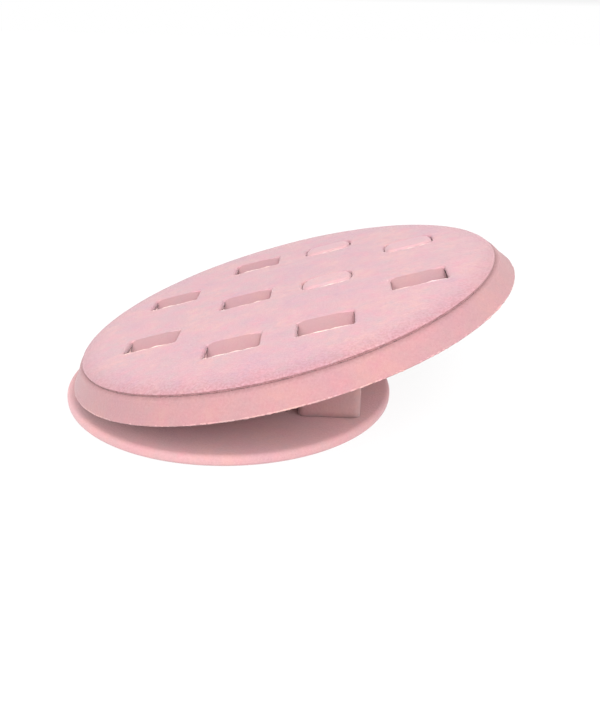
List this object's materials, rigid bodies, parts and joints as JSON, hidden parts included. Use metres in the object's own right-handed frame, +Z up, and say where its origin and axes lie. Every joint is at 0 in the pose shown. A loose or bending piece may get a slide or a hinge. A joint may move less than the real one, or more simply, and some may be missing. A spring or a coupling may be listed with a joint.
{
  "type": "ring display stand",
  "caption": "Tilted round velvet ring display stand: padded tray with sprung clip tongues on an upright block and a round base.",
  "frame": {"origin": "middle of the base's underside", "axes": "+Z up, +X from the tray's low side to its high side, +Y towards the side of each pocket that its tongue hangs from"},
  "size_m": [0.1588, 0.1606, 0.0582],
  "materials": {
    "velvet": "flocked velvet, base and neck",
    "skirt_velvet": "flocked velvet, skirt",
    "pad_velvet": "flocked velvet, brushed in patches",
    "tongue_velvet": "flocked velvet, smooth nap",
    "liner_velvet": "flocked card",
    "felt": "pressed felt",
    "board": "raw fibreboard",
    "foam": "open-cell foam",
    "leaf_plastic": "satin sheet plastic"
  },
  "bodies": {
    "stand": {"base_felt": "felt", "base_board": "board", "base_cover": "velvet", "neck_block": "board", "neck_wrap": "velvet", "tray_lining": "felt", "skirt_cover": "skirt_velvet", "tray_board": "board", "pad_foam": "foam", "pad_cover": "pad_velvet", "pocket_liner_1": "liner_velvet", "pocket_liner_2": "liner_velvet", "pocket_liner_3": "liner_velvet", "pocket_liner_4": "liner_velvet", "pocket_liner_5": "liner_velvet", "pocket_liner_6": "liner_velvet", "pocket_liner_7": "liner_velvet", "pocket_liner_8": "liner_velvet", "pocket_liner_9": "liner_velvet", "pocket_liner_10": "liner_velvet"},
    "tongue_1": {"tongue_cover_1": "tongue_velvet", "tongue_leaf_1": "leaf_plastic"},
    "tongue_2": {"tongue_cover_2": "tongue_velvet", "tongue_leaf_2": "leaf_plastic"},
    "tongue_3": {"tongue_cover_3": "tongue_velvet", "tongue_leaf_3": "leaf_plastic"},
    "tongue_4": {"tongue_cover_4": "tongue_velvet", "tongue_leaf_4": "leaf_plastic"},
    "tongue_5": {"tongue_cover_5": "tongue_velvet", "tongue_leaf_5": "leaf_plastic"},
    "tongue_6": {"tongue_cover_6": "tongue_velvet", "tongue_leaf_6": "leaf_plastic"},
    "tongue_7": {"tongue_cover_7": "tongue_velvet", "tongue_leaf_7": "leaf_plastic"},
    "tongue_8": {"tongue_cover_8": "tongue_velvet", "tongue_leaf_8": "leaf_plastic"},
    "tongue_9": {"tongue_cover_9": "tongue_velvet", "tongue_leaf_9": "leaf_plastic"},
    "tongue_10": {"tongue_cover_10": "tongue_velvet", "tongue_leaf_10": "leaf_plastic"}
  },
  "joints": [
    {"name": "fold_1", "type": "hinge", "parent": "stand", "child": "tongue_1", "pos_m": [0.00618, -0.03975, 0.03431], "axis": [0.9603, 0, 0.279], "range_deg": [-42, 4], "stiffness_Nm_per_rad": 0.02},
    {"name": "fold_2", "type": "hinge", "parent": "stand", "child": "tongue_2", "pos_m": [0.03518, -0.03975, 0.04272], "axis": [0.9603, 0, 0.279], "range_deg": [-42, 4], "stiffness_Nm_per_rad": 0.02},
    {"name": "fold_3", "type": "hinge", "parent": "stand", "child": "tongue_3", "pos_m": [-0.02386, -0.01755, 0.02551], "axis": [0.9603, 0, 0.279], "range_deg": [-42, 4], "stiffness_Nm_per_rad": 0.02},
    {"name": "fold_4", "type": "hinge", "parent": "stand", "child": "tongue_4", "pos_m": [0.06527, -0.01755, 0.05135], "axis": [0.9603, 0, 0.279], "range_deg": [-42, 4], "stiffness_Nm_per_rad": 0.02},
    {"name": "fold_5", "type": "hinge", "parent": "stand", "child": "tongue_5", "pos_m": [0.00615, 0.00465, 0.03441], "axis": [0.9603, 0, 0.279], "range_deg": [-42, 4], "stiffness_Nm_per_rad": 0.02},
    {"name": "fold_6", "type": "hinge", "parent": "stand", "child": "tongue_6", "pos_m": [0.03515, 0.00465, 0.04283], "axis": [0.9603, 0, 0.279], "range_deg": [-12, 34], "stiffness_Nm_per_rad": 0.02},
    {"name": "fold_7", "type": "hinge", "parent": "stand", "child": "tongue_7", "pos_m": [-0.02386, 0.02685, 0.02551], "axis": [0.9603, 0, 0.279], "range_deg": [-42, 4], "stiffness_Nm_per_rad": 0.02},
    {"name": "fold_8", "type": "hinge", "parent": "stand", "child": "tongue_8", "pos_m": [0.06527, 0.02685, 0.05135], "axis": [0.9603, 0, 0.279], "range_deg": [-12, 34], "stiffness_Nm_per_rad": 0.02},
    {"name": "fold_9", "type": "hinge", "parent": "stand", "child": "tongue_9", "pos_m": [0.00618, 0.04905, 0.03431], "axis": [0.9603, 0, 0.279], "range_deg": [-42, 4], "stiffness_Nm_per_rad": 0.02},
    {"name": "fold_10", "type": "hinge", "parent": "stand", "child": "tongue_10", "pos_m": [0.03518, 0.04905, 0.04272], "axis": [0.9603, 0, 0.279], "range_deg": [-12, 34], "stiffness_Nm_per_rad": 0.02}
  ]
}
